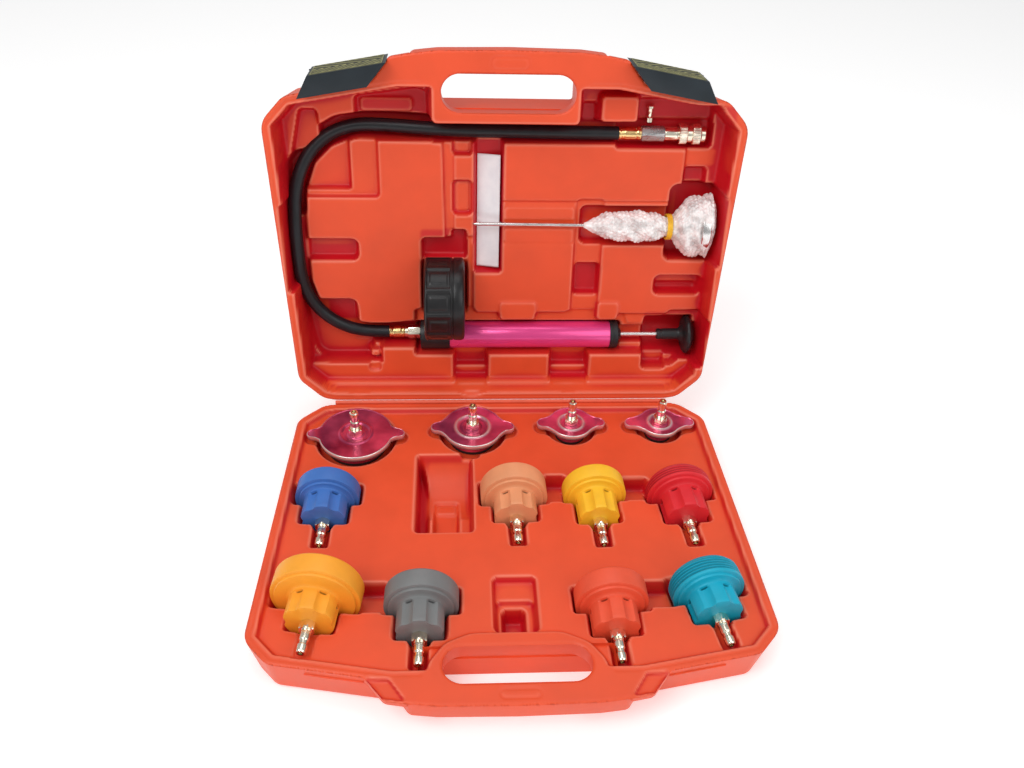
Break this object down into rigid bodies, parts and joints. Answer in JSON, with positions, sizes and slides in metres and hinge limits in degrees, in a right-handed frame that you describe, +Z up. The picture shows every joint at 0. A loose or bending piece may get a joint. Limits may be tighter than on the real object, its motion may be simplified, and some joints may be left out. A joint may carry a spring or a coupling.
{
  "type": "radiator pressure tester kit",
  "caption": "Cooling-system pressure tester in an open moulded case: hand pump with gauge, hose and coupler, a probe thermometer, metal radiator caps and plastic adapters.",
  "frame": {"origin": "centre of the case's flat underside", "axes": "+X to the right seen from the front, +Y from the grip towards the hinge, +Z up"},
  "size_m": [0.42, 0.4477, 0.3734],
  "materials": {
    "case_red": "satin",
    "latch_slate": "satin",
    "pin_steel": "brushed",
    "anodised_magenta": "satin",
    "black_plastic": "satin",
    "rod_steel": "polished",
    "piston_plastic": "matte",
    "seal_rubber": "matte",
    "boot_rubber": "satin",
    "gauge_metal": "satin",
    "dial_white": "satin",
    "needle_black": "matte",
    "lens_clear": "clear",
    "hose_rubber": "satin",
    "brass": "satin",
    "nickel": "polished",
    "dark_steel": "satin",
    "thermo_steel": "polished",
    "wrap_film": "gloss",
    "band_rubber": "matte",
    "leaflet_paper": "matte",
    "cap_anodised": "polished",
    "adapter_blue": "satin",
    "adapter_tan": "satin",
    "adapter_yellow": "satin",
    "adapter_red": "satin",
    "adapter_orange": "satin",
    "adapter_grey": "satin",
    "adapter_vermilion": "satin",
    "adapter_teal": "satin"
  },
  "bodies": {
    "base": {"case_base": "case_red", "living_hinge": "case_red"},
    "lid": {"case_lid": "case_red", "latch_pins": "pin_steel"},
    "left_latch": {"latch_left": "latch_slate"},
    "right_latch": {"latch_right": "latch_slate"},
    "tester": {"pump_barrel": "anodised_magenta", "pump_head": "black_plastic", "barrel_cap": "black_plastic", "check_valve": "seal_rubber", "gauge_boot": "boot_rubber", "gauge_case": "gauge_metal", "gauge_dial": "dial_white", "gauge_lens": "lens_clear", "hose": "hose_rubber", "pump_ferrule": "brass", "swivel_nut": "nickel", "coupler_ferrule": "brass", "coupler_body": "dark_steel"},
    "plunger": {"piston_rod": "rod_steel", "piston": "piston_plastic", "piston_seal": "seal_rubber", "pump_knob": "black_plastic"},
    "needle": {"gauge_needle": "needle_black"},
    "sleeve": {"coupler_sleeve": "nickel"},
    "thermometer": {"thermometer_stem": "thermo_steel", "thermometer_head": "thermo_steel", "bubble_wrap": "wrap_film", "rubber_band": "band_rubber"},
    "leaflet": {"leaflet": "leaflet_paper"},
    "spare_valve": {"spare_valve": "brass"},
    "blue_adapter": {"adapter_blue": "adapter_blue", "nipple_blue": "nickel"},
    "tan_adapter": {"adapter_tan": "adapter_tan", "nipple_tan": "nickel"},
    "yellow_adapter": {"adapter_yellow": "adapter_yellow", "nipple_yellow": "nickel"},
    "red_adapter": {"adapter_red": "adapter_red", "nipple_red": "nickel"},
    "orange_adapter": {"adapter_orange": "adapter_orange", "nipple_orange": "nickel"},
    "grey_adapter": {"adapter_grey": "adapter_grey", "nipple_grey": "nickel"},
    "vermilion_adapter": {"adapter_vermilion": "adapter_vermilion", "nipple_vermilion": "nickel"},
    "teal_adapter": {"adapter_teal": "adapter_teal", "nipple_teal": "nickel"},
    "cap_large": {"cap_large_shell": "cap_anodised", "cap_large_nipple": "nickel", "cap_large_seal": "seal_rubber"},
    "cap_medium": {"cap_medium_shell": "cap_anodised", "cap_medium_nipple": "nickel", "cap_medium_seal": "seal_rubber"},
    "cap_small": {"cap_small_shell": "cap_anodised", "cap_small_nipple": "nickel", "cap_small_seal": "seal_rubber"},
    "cap_small_deep": {"cap_small_deep_shell": "cap_anodised", "cap_small_deep_nipple": "nickel", "cap_small_deep_seal": "seal_rubber"}
  },
  "joints": [
    {"name": "lid_hinge", "type": "hinge", "parent": "base", "child": "lid", "pos_m": [0, 0.1685, 0.04], "axis": [-1, 0, 0], "range_deg": [-100, 0]},
    {"name": "left_latch_pivot", "type": "hinge", "parent": "lid", "child": "left_latch", "pos_m": [-0.1483, 0.23892, 0.34435], "axis": [-0.9844, -0.0305, -0.1732], "range_deg": [0, 65]},
    {"name": "right_latch_pivot", "type": "hinge", "parent": "lid", "child": "right_latch", "pos_m": [0.1483, 0.23892, 0.34435], "axis": [-0.9844, 0.0305, 0.1732], "range_deg": [0, 65]},
    {"name": "tester_lift", "type": "slide", "parent": "lid", "child": "tester", "axis": [0, -0.9848, 0.1736], "range_m": [0, 0.06]},
    {"name": "pump_stroke", "type": "slide", "parent": "tester", "child": "plunger", "axis": [1, 0, 0], "range_m": [-0.036, 0]},
    {"name": "gauge_reading", "type": "hinge", "parent": "tester", "child": "needle", "pos_m": [-0.052, 0.19437, 0.14642], "axis": [-1, 0, 0], "range_deg": [0, 270], "stiffness_Nm_per_rad": 0.001},
    {"name": "coupler_release", "type": "slide", "parent": "tester", "child": "sleeve", "axis": [1, 0, 0], "range_m": [-0.004, 0], "stiffness_N_per_m": 400, "springref_m": 0.001},
    {"name": "thermometer_lift", "type": "slide", "parent": "lid", "child": "thermometer", "axis": [0, -0.9848, 0.1736], "range_m": [0, 0.05]},
    {"name": "leaflet_lift", "type": "slide", "parent": "lid", "child": "leaflet", "axis": [0, -0.9848, 0.1736], "range_m": [0, 0.005]},
    {"name": "spare_valve_lift", "type": "slide", "parent": "lid", "child": "spare_valve", "axis": [0, -0.9848, 0.1736], "range_m": [0, 0.03]},
    {"name": "cap_large_lift", "type": "slide", "parent": "base", "child": "cap_large", "axis": [0, 0, 1], "range_m": [0, 0.04]},
    {"name": "cap_medium_lift", "type": "slide", "parent": "base", "child": "cap_medium", "axis": [0, 0, 1], "range_m": [0, 0.04]},
    {"name": "cap_small_lift", "type": "slide", "parent": "base", "child": "cap_small", "axis": [0, 0, 1], "range_m": [0, 0.04]},
    {"name": "cap_small_deep_lift", "type": "slide", "parent": "base", "child": "cap_small_deep", "axis": [0, 0, 1], "range_m": [0, 0.04]},
    {"name": "blue_adapter_lift", "type": "slide", "parent": "base", "child": "blue_adapter", "axis": [0, 0, 1], "range_m": [0, 0.04]},
    {"name": "tan_adapter_lift", "type": "slide", "parent": "base", "child": "tan_adapter", "axis": [0, 0, 1], "range_m": [0, 0.04]},
    {"name": "yellow_adapter_lift", "type": "slide", "parent": "base", "child": "yellow_adapter", "axis": [0, 0, 1], "range_m": [0, 0.04]},
    {"name": "red_adapter_lift", "type": "slide", "parent": "base", "child": "red_adapter", "axis": [0, 0, 1], "range_m": [0, 0.04]},
    {"name": "orange_adapter_lift", "type": "slide", "parent": "base", "child": "orange_adapter", "axis": [0, 0, 1], "range_m": [0, 0.04]},
    {"name": "grey_adapter_lift", "type": "slide", "parent": "base", "child": "grey_adapter", "axis": [0, 0, 1], "range_m": [0, 0.04]},
    {"name": "vermilion_adapter_lift", "type": "slide", "parent": "base", "child": "vermilion_adapter", "axis": [0, 0, 1], "range_m": [0, 0.04]},
    {"name": "teal_adapter_lift", "type": "slide", "parent": "base", "child": "teal_adapter", "axis": [0, 0, 1], "range_m": [0, 0.04]}
  ]
}
